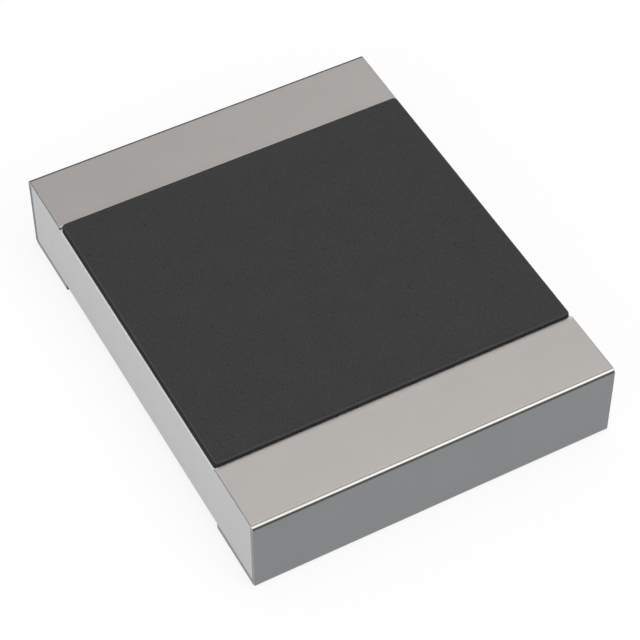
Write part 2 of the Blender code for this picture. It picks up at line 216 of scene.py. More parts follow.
class Graph:
    """The node tree of one material or world."""

    def __init__(self, tree: bpy.types.NodeTree) -> None:
        """Start from an empty tree.

        Args:
            tree: The tree to fill.
        """
        self.tree = tree
        self.tree.nodes.clear()

    def add(
        self,
        kind: str,
        settings: dict[str, Any] | None = None,
        values: dict[int | str, Any] | None = None,
        output: int | str = 0,
    ) -> Signal:
        """Add any node.

        Args:
            kind: The node's type.
            settings: Attributes set first; "stops" holds a ramp's places and colours.
            values: What each input takes: a number, a colour or a signal.
            output: The output to return.

        Returns:
            The chosen output.
        """
        node = self.tree.nodes.new(kind)
        for key, value in (settings or {}).items():
            if key == "stops":
                self.fill_ramp(node.color_ramp, value)
            else:
                setattr(node, key, value)
        for key, value in (values or {}).items():
            if isinstance(value, Signal):
                self.tree.links.new(value.socket, node.inputs[key])
            else:
                node.inputs[key].default_value = value
        return Signal(self, node, output)

    def close(self, kind: str, surface: Signal) -> None:
        """Join the last shader to the tree's output node.

        Args:
            kind: The output node's type.
            surface: The last shader.
        """
        self.tree.links.new(surface.socket, self.tree.nodes.new(kind).inputs["Surface"])

    @staticmethod
    def fill_ramp(ramp: bpy.types.ColorRamp, stops: Sequence[tuple[float, Colour]]) -> None:
        """Set a ramp's stops.

        Args:
            ramp: The ramp to fill.
            stops: Each stop's place and colour, in rising order.
        """
        while len(ramp.elements) < len(stops):
            ramp.elements.new(1.0)
        for element, (place, colour) in zip(ramp.elements, stops):
            element.position = place
            element.color = (*colour, 1.0)

    def mix(self, share: Signal | float, first: Any, second: Any) -> Signal:
        """Mix two colours.

        Args:
            share: How much of the second colour.
            first: A colour or a signal.
            second: A colour or a signal.

        Returns:
            The mixed colour.
        """
        settings = {"data_type": "RGBA", "clamp_factor": True}
        values = {0: share, 6: self.rgba(first), 7: self.rgba(second)}
        return self.add("ShaderNodeMix", settings, values, 2)

    def scaled(self, colour: Any, factor: Signal | float) -> Signal:
        """A colour made lighter or darker by a factor."""
        values = {0: colour, "Scale": factor}
        return self.add("ShaderNodeVectorMath", {"operation": "SCALE"}, values)

    @staticmethod
    def rgba(colour: Any) -> Any:
        """A plain colour with its alpha; a signal as it is."""
        return colour if isinstance(colour, Signal) else (*colour, 1.0)

    def place(self) -> Signal:
        """The point on the object, in metres."""
        return self.add("ShaderNodeTexCoord", output="Object")

    def reach(self, axis: str) -> Signal:
        """The point's place along one axis, in metres."""
        return self.add("ShaderNodeSeparateXYZ", None, {0: self.place()}, axis)

    def facing(self, axis: str) -> Signal:
        """How far the surface faces along one axis.

        Args:
            axis: X, Y or Z.

        Returns:
            1 where it faces along the axis, -1 where it faces back.
        """
        normal = self.add("ShaderNodeTexCoord", output="Normal")
        return self.add("ShaderNodeSeparateXYZ", None, {0: normal}, axis)

    def grain(self, spacing: float, detail: float = 2.0, roughness: float = 0.5) -> Signal:
        """Fine noise fixed to the object.

        Args:
            spacing: The size of one grain, in metres.
            detail: Octaves of noise.
            roughness: How strong the finer octaves are.

        Returns:
            A value near the middle.
        """
        values = {
            "Vector": self.place(),
            "Scale": 1 / spacing,
            "Detail": detail,
            "Roughness": roughness,
        }
        return self.add("ShaderNodeTexNoise", None, values)

    def bumped(self, height: Signal, depth: float) -> Signal:
        """A normal tilted by a height, which is a share of the depth in metres."""
        return self.add("ShaderNodeBump", None, {"Distance": depth, "Height": height})


# Finishes


@dataclass(frozen=True)
class Finish:
    """A surface finish.  The plain one is a fine cast or fired surface.

    In every finish a fade is a pair: where a smooth change starts and where it ends.

    Attributes:
        name: The material's name.
        colour: Its linear colour.
        metallic: Its metallic share.
        roughness: Its mean roughness.
        grain: The size of its grain, in metres.
        clouds: The size of its cloudy patches, in grains.
        mottle: How much its tone varies.
        cloud_mottle: How strong the cloudy patches are in it, where the grain is 1.
        dulling: How much its roughness varies.
        relief: The depth of its grain, in metres.
        specular: How strongly it mirrors where it isn't metal.
    """

    name: str
    colour: Colour
    metallic: float = 0.0
    roughness: float = 0.5
    grain: float = 12 * MICRON
    clouds: float = 12.0
    mottle: float = 0.06
    cloud_mottle: float = 1.0
    dulling: float = 0.1
    relief: float = 0.3 * MICRON
    specular: float = 0.5

    def paint(self, graph: Graph) -> dict[str, Any]:
        """What the surface takes at each point.

        Args:
            graph: The material's graph.

        Returns:
            The shader's inputs that vary.
        """
        fine = graph.grain(self.grain)
        cloud = graph.grain(self.clouds * self.grain, detail=3.0)
        tone = 1 + self.mottle * ((fine - MIDDLE) + self.cloud_mottle * (cloud - MIDDLE))
        return {
            "Base Color": graph.scaled(self.colour, tone),
            "Roughness": self.roughness + self.dulling * (fine - MIDDLE),
            "Normal": graph.bumped(fine, self.relief),
        }

    def material(self) -> bpy.types.Material:
        """The material, made once.

        Returns:
            The material of this name.
        """
        found = bpy.data.materials.get(self.name)
        if found:
            return found
        made = bpy.data.materials.new(self.name)
        made.use_nodes = True
        graph = Graph(made.node_tree)
        values = {"Metallic": self.metallic, "Specular IOR Level": self.specular}
        values.update(self.paint(graph))
        shader = graph.add("ShaderNodeBsdfPrincipled", None, values)
        graph.close("ShaderNodeOutputMaterial", shader)
        return made


@dataclass(frozen=True)
class SatinPlating(Finish):
    """Plated tin: a satin top, painted shade on the upright faces, and burnished bends with
    painted shade above and below the crown.

    Attributes:
        upright: The linear colour of the end and side faces, darker than the top as painted shade.
        crown: The linear colour of the burnished upper part of each bend.
        shoulder: The tone where the bend leaves its crown, as a share of the top's: painted shade.
        slope: The tone where the bend is nearly level, as a share of the top's: painted shade.
        bend_roughness: The roughness of the bends.
        fold: How much darker the painted shade line below the crown is, on the sides and on the
            ends.
        rim_light: How much lighter the top is beside the cover, as painted light.
        rim_shade: How much darker the plating's inner wall is beside the cover, as painted shade.
        brow_light: How much lighter the upper edges of the sides are, as painted light.
        far_shade: How much darker the far upright edges are, as painted shade.
        far_left_shade: How much darker the top grows towards its far left, as painted shade.
        bend_fades: How steep a face is at both ends of a bend.
        fold_fades: How far a face looks up at both ends of the painted dark line.
        level_fade: How far a face looks up to count as level.
        end_fade: How far a face looks along the part to count as an end.
        side_fade: How far a face looks across the part to count as a side.
        rim_fade: How far past the cover's end the rim beside it fades.
        brow_fade: How far above the block's top the upper edges begin.
        far_fade: How far from the part's end its far upright edges begin.
        far_left_shade_fade: How far across the part the painted shade on the far left fades.
    """

    upright: Colour = (0.3, 0.3, 0.3)
    crown: Colour = (0.7, 0.7, 0.7)
    shoulder: float = 0.31
    slope: float = 0.40
    bend_roughness: float = 0.25
    fold: Pair = (0.03, 0.6)
    rim_light: float = 0.36
    rim_shade: float = 0.65
    brow_light: float = 0.95
    far_shade: float = 0.52
    far_left_shade: float = 0.055
    bend_fades: tuple[Pair, Pair] = ((0.02, 0.15), (0.975, 0.998))
    fold_fades: tuple[Pair, Pair] = ((0.13, 0.48), (0.64, 0.765))
    level_fade: Pair = (0.90, 0.99)
    end_fade: Pair = (0.2, 0.7)
    side_fade: Pair = (0.3, 0.8)
    rim_fade: Pair = (8 * MICRON, 26 * MICRON)
    brow_fade: Pair = (-16 * MICRON, 4 * MICRON)
    far_fade: Pair = (-42 * MICRON, -30 * MICRON)
    far_left_shade_fade: Pair = (-1.4 * MM, 1.4 * MM)

    def paint(self, graph: Graph) -> dict[str, Any]:
        """A fine matte grain over the tone of each face, bend and edge, with painted light and
        shade.

        Args:
            graph: The material's graph.

        Returns:
            The shader's inputs that vary.
        """
        fine = graph.grain(self.grain)
        cloud = graph.grain(self.clouds * self.grain, detail=3.0, roughness=0.6)
        tone = 1 + self.mottle * ((fine - MIDDLE) + self.cloud_mottle * (cloud - MIDDLE))
        up = graph.facing("Z")
        # Painted light and shade along the bends and edges
        tone = tone * self.edge_tone(graph, up)
        rough = abs(up).within(*self.bend_fades).blend(self.roughness, self.bend_roughness)
        return {
            "Base Color": graph.scaled(self.face_colour(graph, up), tone),
            "Roughness": rough + self.dulling * (fine - MIDDLE),
            "Normal": graph.bumped(fine, self.relief),
        }

    def face_colour(self, graph: Graph, up: Signal) -> Signal:
        """The colour of the faces and round the bends between them, with painted shade on the
        upright faces and beside the crown.

        Args:
            graph: The material's graph.
            up: How far the surface looks up.

        Returns:
            The colour, from the underside's over the upright faces' painted shade and the crown's
            to the top's.
        """
        # Each stop: how far a face looks up, and its colour there; the upright faces, the shoulder
        # and the slope carry painted shade
        stops = [
            (-1.00, self.colour),
            (-0.95, self.colour),
            (-0.70, self.upright),
            (0.645, self.upright),
            (0.735, self.crown),
            (0.893, self.crown),
            (0.940, toned(self.colour, self.shoulder)),
            (0.976, toned(self.colour, self.slope)),
            (0.9995, self.colour),
        ]
        settings = {"stops": [(0.5 + 0.5 * place, colour) for place, colour in stops]}
        return graph.add("ShaderNodeValToRGB", settings, {0: 0.5 + 0.5 * up})

    def edge_tone(self, graph: Graph, up: Signal) -> Signal:
        """How much painted light and painted shade the plating has at its folds and edges.

        Args:
            graph: The material's graph.
            up: How far the surface looks up.

        Returns:
            The factor for its colour.
        """
        along = graph.reach("Y")
        endward = abs(graph.facing("Y")).past(self.end_fade)
        sideward = abs(graph.facing("X")).past(self.side_fade)
        raised = graph.reach("Z").past(self.brow_fade, BLOCK_TOP)
        rim = 1 - abs(along).past(self.rim_fade, COVER_END)
        # Painted light on the level top beside the cover
        light = self.rim_light * rim * up.past(self.level_fade)
        # Painted light on the upper edges of the sides
        light = light + self.brow_light * sideward * raised * (1 - rim)
        # Painted shade on the far upright edges
        far = sideward * (1 - raised) * along.past(self.far_fade, PART_END)
        # Painted shade on the top towards its far left
        far_left = along.past((0.0, COVER_END)) * (1 - graph.reach("X").past(self.far_left_shade_fade))
        # Painted shade: a dark line below the crown of each bend
        tone = 1 - endward.blend(*self.fold) * up.within(*self.fold_fades)
        # Painted light from above, and painted shade on the inner wall beside the cover
        tone = tone * (1 + light) * (1 - self.rim_shade * endward * rim)
        return tone * (1 - self.far_shade * far) * (1 - self.far_left_shade * far_left)


@dataclass(frozen=True)
class SpeckledCover(Finish):
    """The black cover coat: matte, with filler grains, a paler rim line and darker walls.

    Attributes:
        filler: How many times brighter a pale filler grain is.
        filler_shown: How much of a pale grain shows.
        pits: How much darker the dark grains are.
        rim_light: How much lighter the rounded rim is, along the ends and along the sides, as a
            painted highlight.
        wall_shade: How much darker the walls are, along the ends and along the sides, as painted
            shade.
        foot_shade: How much darker the foot beside the plating is, as painted shade.
        rim_polish: How much less rough the rim is.
        wall_dulling: How much rougher the walls are.
        pale_size: The size of the pale grains, in grains of the ground.
        dark_size: The size of the dark grains, in the same.
        pale_fade: Where their noise turns into pale grains.
        dark_fade: Where it turns into dark grains.
        rim_fades: How far a face looks up at both ends of the rounded rim.
        wall_fade: How far a face looks up where the wall ends.
        side_fade: How far a face looks across the part to count as a side.
        foot_fade: How far above the plating's top the foot ends.
    """

    filler: float = 2.4
    filler_shown: float = 0.45
    pits: float = 0.4
    rim_light: Pair = (0.14, 1.94)
    wall_shade: Pair = (0.38, 0.20)
    foot_shade: float = 0.65
    rim_polish: float = 0.12
    wall_dulling: float = 0.35
    pale_size: float = 0.8
    dark_size: float = 1.3
    pale_fade: Pair = (0.56, 0.72)
    dark_fade: Pair = (0.60, 0.74)
    rim_fades: tuple[Pair, Pair] = ((0.70, 0.86), (0.96, 0.99))
    wall_fade: Pair = (0.35, 0.75)
    side_fade: Pair = (0.1, 0.5)
    foot_fade: Pair = (1 * MICRON, 14 * MICRON)

    def paint(self, graph: Graph) -> dict[str, Any]:
        """A matte ground with fine speckle, a painted highlight on the rim and painted shade on
        the walls and foot.

        Args:
            graph: The material's graph.

        Returns:
            The shader's inputs that vary.
        """
        fine = graph.grain(self.grain, detail=3.0, roughness=0.6)
        cloud = graph.grain(self.clouds * self.grain, detail=3.0)
        pale = graph.grain(self.pale_size * self.grain, detail=1.0).past(self.pale_fade)
        dark = graph.grain(self.dark_size * self.grain, detail=1.0, roughness=0.4)
        dark = dark.past(self.dark_fade)
        up = graph.facing("Z")
        rim = up.within(*self.rim_fades)
        wall = 1 - up.past(self.wall_fade)
        side = abs(graph.facing("X")).past(self.side_fade)
        foot = (1 - side) * (1 - graph.reach("Z").past(self.foot_fade, PLATE_TOP))
        tone = 1 + self.mottle * ((fine - MIDDLE) + self.cloud_mottle * (cloud - MIDDLE))
        # Painted highlight along the rounded rim
        tone = tone * (1 + side.blend(*self.rim_light) * rim)
        # Painted shade on the walls
        tone = tone * (1 - side.blend(*self.wall_shade) * wall)
        # Painted shade on the foot beside the plating; the dark grains are the coat's own
        tone = tone * (1 - self.foot_shade * foot) * (1 - self.pits * dark)
        ground = graph.scaled(self.colour, tone)
        filler = toned(self.colour, self.filler)
        rough = self.roughness + self.dulling * (fine - MIDDLE)
        return {
            "Base Color": graph.mix(self.filler_shown * pale, ground, filler),
            "Roughness": rough - self.rim_polish * rim + self.wall_dulling * wall,
            "Normal": graph.bumped(fine, self.relief),
        }


@dataclass(frozen=True)
class FiredAlumina(Finish):
    """Fired alumina: fine crystals, coarser on the snapped sides, with painted light that makes
    the ground top paler than them.

    Attributes:
        top_light: How much lighter the ground top is, as painted light.
        crystal_mottle: How much of the mottle its crystals have, on top and on the sides.
        crystal_relief: How much of the relief they have, on top and on the sides.
        side_fade: How far a face looks across the part to count as a snapped side.
        top_fade: How far a face looks up to count as the ground top.
    """

    top_light: float = 0.28
    crystal_mottle: Pair = (0.5, 1.5)
    crystal_relief: Pair = (0.4, 1.0)
    side_fade: Pair = (0.75, 1.0)
    top_fade: Pair = (0.3, 0.7)

    def paint(self, graph: Graph) -> dict[str, Any]:
        """Pale grain, coarser where the plate was snapped, with painted light on the top.

        Args:
            graph: The material's graph.

        Returns:
            The shader's inputs that vary.
        """
        fine = graph.grain(self.grain, detail=3.0, roughness=0.6)
        cloud = graph.grain(self.clouds * self.grain)
        side = abs(graph.facing("X")).past(self.side_fade)
        top = graph.facing("Z").past(self.top_fade)
        crystals = (fine - MIDDLE) * side.blend(*self.crystal_mottle)
        tone = 1 + self.mottle * (crystals + self.cloud_mottle * (cloud - MIDDLE))
        return {
            # Painted light: the top is paler than the sides
            "Base Color": graph.scaled(self.colour, tone + self.top_light * top),
            "Roughness": self.roughness + self.dulling * (fine - MIDDLE),
            "Normal": graph.bumped(fine * side.blend(*self.crystal_relief), self.relief),
        }


# The upright colour and the fold are painted shade
TIN = SatinPlating(
    name="satin tin plating",
    colour=srgb(172.5, 168.5, 165.5),
    metallic=1.0,
    roughness=0.38,
    grain=14 * MICRON,
    clouds=25.0,
    mottle=0.08,
    dulling=0.08,
    relief=0.4 * MICRON,
    upright=srgb(133, 135, 136),
    crown=srgb(169, 167, 162),
    bend_roughness=0.2,
    fold=(0.028, 0.56),
)
COVER = SpeckledCover(
    name="black cover coat",
    colour=srgb(49, 49, 49),
    roughness=0.6,
    grain=11 * MICRON,
    clouds=20.0,
    mottle=0.5,
    cloud_mottle=0.5,
    dulling=0.15,
    relief=0.6 * MICRON,
    specular=0.3,
)
ALUMINA = FiredAlumina(
    name="fired alumina",
    colour=srgb(224, 224, 225),
    roughness=0.55,
    grain=9 * MICRON,
    clouds=15.0,
    mottle=0.08,
    cloud_mottle=0.6,
    relief=0.5 * MICRON,
)
BURIED = {
    "printed_silver": Finish("fired silver print", srgb(124, 122, 118), 1.0, 0.45),
    "end_silver": Finish("end silver paste", srgb(200, 198, 194), 1.0, 0.5, mottle=0.1),
    "nickel": Finish("satin nickel", srgb(188, 184, 174), 1.0, 0.33, grain=8 * MICRON),
    "ruthenium_film": Finish("fired resistive film", srgb(52, 50, 50), 0.1, 0.5, mottle=0.3),
    "lead_glass": Finish("green primary glass", srgb(94, 112, 96), 0.0, 0.15, mottle=0.12),
}


# Mesh work


def waves(point: Point, spacing: float, height: float) -> float:
    """A smooth random height at a point, the same in every run.

    Args:
        point: The point, in metres.
        spacing: The distance between waves, in metres.
        height: The largest height, in metres.

    Returns:
        The height there.
    """
    return height * noise.noise(Vector(point) / spacing)


def steps(low: float, high: float, count: int) -> list[float]:
    """Evenly spaced values from low to high, both kept."""
    return [low + (high - low) * index / count for index in range(count + 1)]


def held(low: float, high: float, count: int) -> list[float]:
    """Steps with one more close to each end, so that a bend beside a flat stretch doesn't tilt it.

    Args:
        low: The first value.
        high: The last value.
        count: Stretches between the two held places.

    Returns:
        The values, both ends kept.
    """
    inward = math.copysign(HOLD, high - low)
    return [low, *steps(low + inward, high - inward, count), high]


def eased(share: float) -> float:
    """A share from 0 to 1, with soft ends."""
    share = min(1.0, max(0.0, share))
    return share * share * (3 - 2 * share)


def part_way(first: Pair, last: Pair, share: float) -> Pair:
    """The point that lies a share of the way from the first point to the last."""
    return first[0] + (last[0] - first[0]) * share, first[1] + (last[1] - first[1]) * share


class ClosedMesh:
    """Collects the points and faces of one closed body."""

    def __init__(self, name: str) -> None:
        """Start an empty body.

        Args:
            name: The piece's name.
        """
        self.name = name
        self.points: list[Point] = []
        self.faces: list[tuple[int, ...]] = []

    def loop(self, points: Iterable[Point]) -> list[int]:
        """Add points and give their places.

        Args:
            points: The points, in order.

        Returns:
            Their places.
        """
        first = len(self.points)
        self.points.extend(points)
        return list(range(first, len(self.points)))

    def strip(self, low: Sequence[int], high: Sequence[int], closed: bool = True) -> None:
        """Join two loops of equally many points with quads.

        Args:
            low: One loop.
            high: The next loop.
            closed: Whether the last point joins the first.
        """
        count = len(low)
        for index in range(count if closed else count - 1):
            after = (index + 1) % count
            self.faces.append((low[index], low[after], high[after], high[index]))

    def fill(self, loop: Sequence[int]) -> None:
        """Close a loop with one face."""
        self.faces.append(tuple(loop))

    def piece(self, finish: Finish, node: str) -> bpy.types.Object:
        """Make the piece, dress it and put it in its node's stead.

        Args:
            finish: Its finish.
            node: The node that it stands for.

        Returns:
            The piece.
        """
        mesh = bpy.data.meshes.new(self.name)
        mesh.from_pydata(self.points, [], self.faces)
        work = bmesh.new()
        work.from_mesh(mesh)
        bmesh.ops.recalc_face_normals(work, faces=work.faces)
        work.to_mesh(mesh)
        work.free()
        mesh.polygons.foreach_set("use_smooth", [True] * len(mesh.polygons))
        mesh.set_sharp_from_angle(angle=SHARP)
        mesh.materials.append(finish.material())
        item = bpy.data.objects.new(self.name, mesh)
        bpy.context.scene.collection.objects.link(item)
        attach(item, BODY)
        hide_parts(node)
        log.info("%s: %d points, %d faces", self.name, len(self.points), len(self.faces))
        return item


def rounded_plan(
    half: Pair, radius: float, height: float, side_steps: int, corner_steps: int
) -> list[Point]:
    """A level rounded rectangle, starting at its lower right side.

    Args:
        half: Half its width and half its length.
        radius: Its corner radius.
        height: Its height.
        side_steps: Stretches in each straight side.
        corner_steps: Stretches in each corner.

    Returns:
        Its points, anticlockwise.
    """
    def on_corner(sign: tuple[int, int], angle: float) -> Pair:
        """A point on one corner.

        Args:
            sign: Which corner, by the signs of its place across and along.
            angle: The point's angle round the corner's centre.

        Returns:
            The point's place across and along.
        """
        return (
            sign[0] * (half[0] - radius) + radius * math.cos(angle),
            sign[1] * (half[1] - radius) + radius * math.sin(angle),
        )

    plan: list[Pair] = []
    corners = ((1, 1), (-1, 1), (-1, -1), (1, -1))
    for turn, sign in enumerate(corners):
        end_angle = (turn + 1) * QUARTER
        angles = steps(turn * QUARTER, end_angle, corner_steps)
        plan += [on_corner(sign, angle) for angle in angles]
        start = plan[-1]
        goal = on_corner(corners[(turn + 1) % 4], end_angle)
        plan += [part_way(start, goal, share) for share in steps(0, 1, side_steps)[1:-1]]
    return [(x, y, height) for x, y in plan]


# Sub-assemblies


class End(Enum):
    """The two ends of the part."""

    NEAR = -1
    FAR = 1

    @property
    def word(self) -> str:
        """The end's word in a node's name."""
        return self.name.lower()


@dataclass
class CeramicBlock:
    """The alumina block that carries every layer.

    Attributes:
        end_chamfer: The chamfer along the two ends.
        side_chamfer: The chamfer along the two long sides.
        corner: The radius of the upright corners.
        flakes: How far the snapped sides stand uneven.
        flake_size: The distance from one uneven place to the next.
        chamfer_steps: Stretches in the height of each end chamfer.
        level_steps: Stretches in the height between the chamfers.
        side_steps: Stretches in each straight side of its rings.
        corner_steps: Stretches in each corner of its rings.
        low: The lowest corner of its solid.
        high: The highest corner of its solid.
    """

    end_chamfer: float = 0.014 * MM
    side_chamfer: float = 0.007 * MM
    corner: float = 0.004 * MM
    flakes: float = 0.5 * MICRON
    flake_size: float = 0.05 * MM
    chamfer_steps: int = 4
    level_steps: int = 12
    side_steps: int = 40
    corner_steps: int = 3
    low: Vector = field(init=False)
    high: Vector = field(init=False)

    def __post_init__(self) -> None:
        """Read the block's place from its solid."""
        self.low, self.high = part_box("ceramic_substrate")

    def build(self) -> bpy.types.Object:
        """Make the block from level rings.

        Returns:
            The piece.
        """
        body = ClosedMesh("ceramic_block")
        drops = [self.end_chamfer * share for share in steps(0, 1, self.chamfer_steps)]
        levels = [self.low.z + drop for drop in drops]
        levels += steps(levels[-1], self.high.z - self.end_chamfer, self.level_steps)[1:-1]
        levels += [self.high.z - drop for drop in reversed(drops)]
        rings = [body.loop(self.ring(level)) for level in levels]
        for below, above in zip(rings, rings[1:]):
            body.strip(below, above)
        body.fill(rings[0])
        body.fill(rings[-1])
        return body.piece(ALUMINA, "ceramic_substrate")

    def ring(self, level: float) -> list[Point]:
        """The block's plan at one level.

        Args:
            level: The height.

        Returns:
            The ring's points.
        """
        depth = min(level - self.low.z, self.high.z - level)
        across = self.high.x - max(0.0, self.side_chamfer - depth)
        along = self.high.y - max(0.0, self.end_chamfer - depth)
        half = (across, along)
        plan = rounded_plan(half, self.corner, level, self.side_steps, self.corner_steps)
        points = []
        for x, y, z in plan:
            if abs(x) > across - self.corner / 2 and depth > self.side_chamfer:
                uneven = waves((x, y, z), self.flake_size, self.flakes)
                x -= math.copysign(self.flakes + uneven, x)
            points.append((x, y - BLOCK_SHIFT, z))
        return points


@dataclass(frozen=True)
class Station:
    """One place on the way round a termination, where its shell has a section.

    Attributes:
        outer: The outer point, as length and height.
        rim: The point on the block where the shell's two side rims stand, in the same.
        side: The radius at the two sides.
    """

    outer: Pair
    rim: Pair
    side: float


@dataclass
class Termination:
    """One plated end: a shell over the top, down the end and under the block, closed at its sides.

    Attributes:
        end: Which end.
        plate: The plating's thickness.
        top_radius: The radius where the top turns down.
        bottom_radius: The radius where the end turns under.
        upright_radius: The radius of the upright edges.
        top_side_radius: The radius along the top's two sides.
        bottom_side_radius: The radius along the underside's two sides.
        chamfer: The block's end chamfer, which the shell's rim follows.
        swell: How far the plating's faces wave.
        swell_size: The distance between its waves.
        ripple: The height of the finer waves on them, as a share of theirs.
        ripple_size: The distance between those.
        calm: How far from the cover the waves reach their full height.
        sway: How far the plated top lies to the left of the end.
        sway_from: The share of the height that it starts from.
        flat_steps: Stretches along the top, and along the underside.
        end_steps: Stretches down the end.
        bend_steps: Stretches round each bend.
        side_steps: Stretches round each side edge.
        across_steps: Stretches across the outside.
        inside_steps: Stretches across the inside.
        half_width: Half the shell's width.
        height: Its height.
        face: How far out its end face stands.
        top_end: Where its top ends at the cover.
        bottom_end: Where its underside ends.
        wall: How far out the block's end stands inside it.
        roof: The level of the block's top inside it.
        floor: The level of the block's underside inside it.
    """

    end: End
    plate: float = 0.006 * MM
    top_radius: float = 0.036 * MM
    bottom_radius: float = 0.038 * MM
    upright_radius: float = 0.005 * MM
    top_side_radius: float = 0.0035 * MM
    bottom_side_radius: float = 0.010 * MM
    chamfer: float = CeramicBlock.end_chamfer
    swell: float = 0.5 * MICRON
    swell_size: float = 0.16 * MM
    ripple: float = 0.4
    ripple_size: float = 0.05 * MM
    calm: float = 0.05 * MM
    sway: float = 1.9 * MICRON
    sway_from: float = 0.75
    flat_steps: int = 14
    end_steps: int = 16
    bend_steps: int = 12
    side_steps: int = 7
    across_steps: int = 30
    inside_steps: int = 8
    half_width: float = field(init=False)
    height: float = field(init=False)
    face: float = field(init=False)
    top_end: float = field(init=False)
    bottom_end: float = field(init=False)
    wall: float = field(init=False)
    roof: float = field(init=False)
    floor: float = field(init=False)

    def __post_init__(self) -> None:
        """Read the shell's place from its own solid, the block's and the cover's."""
        low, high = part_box(f"tin_plating_{self.end.word}")
        block_low, block_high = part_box("ceramic_substrate")
        self.half_width = high.x
        self.height = high.z
        self.face = max(abs(low.y), abs(high.y))
        self.top_end = COVER_END - self.end.value * COVER_SHIFT + LAYER_GAP
        self.bottom_end = min(abs(low.y), abs(high.y))
        self.wall = block_high.y - self.end.value * BLOCK_SHIFT + LAYER_GAP
        self.roof = block_high.z + LAYER_GAP
        self.floor = block_low.z - LAYER_GAP

    def build(self) -> bpy.types.Object:
        """Sweep the shell's section round the end.

        Returns:
            The piece.
        """
        body = ClosedMesh(f"termination_{self.end.word}")
        *stations, closing = self.stations()
        loops = []
        for station in stations:
            outside, inside = self.section(station)
            loops.append(body.loop(outside + inside))
        for first, second in zip(loops, loops[1:]):
            body.strip(first, second)
        tip = body.loop(self.section(closing)[0])
        ahead = loops[-1]
        body.strip(ahead[:len(tip)], tip, closed=False)
        body.fill(loops[0])
        body.fill(ahead[len(tip):])
        body.fill(tip)
        body.fill([tip[0], tip[-1], *ahead[len(tip) - 1:], ahead[0]])
        return body.piece(TIN, f"tin_plating_{self.end.word}")

    def stations(self) -> list[Station]:
        """The way round the end.

        Returns:
            The stations, from the top's inner end to the underside's.
        """
        spring = self.face - self.top_radius
        upper = self.height - self.top_radius
        heel = self.face - self.bottom_radius
        closing = self.bottom_end + self.plate
        top_corner = (self.wall - self.chamfer, self.roof)
        upper_corner = (self.wall, self.roof - self.chamfer)
        lower_corner = (self.wall, self.floor + self.chamfer)
        bottom_corner = (self.wall - self.chamfer, self.floor)
        found = self.flat(
            ((self.top_end, self.height), (spring, self.height)),
            ((self.top_end, self.roof), top_corner),
            self.top_side_radius,
            self.flat_steps,
        )
        found += self.bend(
            (spring, upper),
            self.top_radius,
            QUARTER,
            (top_corner, upper_corner),
            (self.top_side_radius, self.upright_radius),
        )
        found += self.flat(
            ((self.face, upper), (self.face, self.bottom_radius)),
            (upper_corner, lower_corner),
            self.upright_radius,
            self.end_steps,
        )[1:]
        found += self.bend(
            (heel, self.bottom_radius),
            self.bottom_radius,
            0.0,
            (lower_corner, bottom_corner),
            (self.upright_radius, self.bottom_side_radius),
        )
        found += self.flat(
            ((heel, 0.0), (closing, 0.0)),
            (bottom_corner, (closing, self.floor)),
            self.bottom_side_radius,
            self.flat_steps,
        )[1:]
        rim = (self.bottom_end, self.floor)
        found.append(Station((self.bottom_end, 0.0), rim, self.bottom_side_radius))
        return found

    @staticmethod
    def flat(
        outers: tuple[Pair, Pair], rims: tuple[Pair, Pair], side: float, count: int
    ) -> list[Station]:
        """Stations along one flat face.

        Args:
            outers: The first and the last outer point.
            rims: The first and the last rim point.
            side: The radius at the two sides.
            count: Stretches between the two held places.

        Returns:
            The stations, both ends kept.
        """
        length = math.dist(*outers)
        shares = [place / length for place in held(0.0, length, count)]
        return [
            Station(part_way(*outers, share), part_way(*rims, share), side) for share in shares
        ]

    def bend(
        self, centre: Pair, radius: float, start: float, rims: tuple[Pair, Pair], sides: Pair
    ) -> list[Station]:
        """Stations round one bend, a quarter turn outwards and down.

        Args:
            centre: The bend's centre, as length and height.
            radius: Its radius.
            start: The angle that it starts from.
            rims: The first and the last rim point.
            sides: The first and the last radius at the two sides.

        Returns:
            The stations, without the first, where the flat face before it ends.
        """
        found = []
        for share in steps(0, 1, self.bend_steps)[1:]:
            angle = start - QUARTER * share
            outer = (centre[0] + radius * math.cos(angle), centre[1] + radius * math.sin(angle))
            side = sides[0] + (sides[1] - sides[0]) * eased(share)
            found.append(Station(outer, part_way(*rims, share), side))
        return found

    def section(self, station: Station) -> tuple[list[Point], list[Point]]:
        """The shell's channel section at one station.

        Args:
            station: The station.

        Returns:
            The outside's points from right to left, and the inside's back.
        """
        depth = math.dist(station.outer, station.rim)
        width, side = self.half_width, station.side

        def sunk(down: float) -> Pair:
            """The length and height at a depth under the outer point."""
            return part_way(station.outer, station.rim, down / depth)

        right = [(width, depth), (width, side + HOLD)]
        for angle in steps(0, QUARTER, self.side_steps):
            right.append((width - side * (1 - math.cos(angle)), side * (1 - math.sin(angle))))
        across = [(x, 0.0) for x in held(width - side, side - width, self.across_steps)[1:-1]]
        left = [(-x, down) for x, down in reversed(right)]
        raised = (station.outer[1] / self.height - self.sway_from) / (1 - self.sway_from)
        shift = self.sway * eased(raised)
        outside = []
        for x, down in right + across + left:
            y, z = sunk(down)
            if down == 0.0 and z > self.plate:
                y, z = sunk(self.swelling(x, y, z))
            outside.append((x - shift, self.end.value * y, z))
        lining = width - self.plate
        level = [(x, self.plate) for x in steps(-lining, lining, self.inside_steps)]
        inside = []
        for x, down in [(-lining, depth), *level, (lining, depth)]:
            y, z = sunk(down)
            inside.append((x, self.end.value * y, z))
        return outside, inside

    def swelling(self, x: float, y: float, z: float) -> float:
        """How far the plating lies inside its true face at a point.

        Args:
            x: The point's place across.
            y: Its distance from the middle of the part, along it.
            z: Its height.

        Returns:
            The depth, never less than nothing.
        """
        rise = eased((y - self.top_end) / self.calm)
        wave = waves((x, self.end.value * y, z), self.swell_size, self.swell)
        wave += waves((y, x, z), self.ripple_size, self.ripple * self.swell)
        return rise * ((1 + self.ripple) * self.swell + wave)


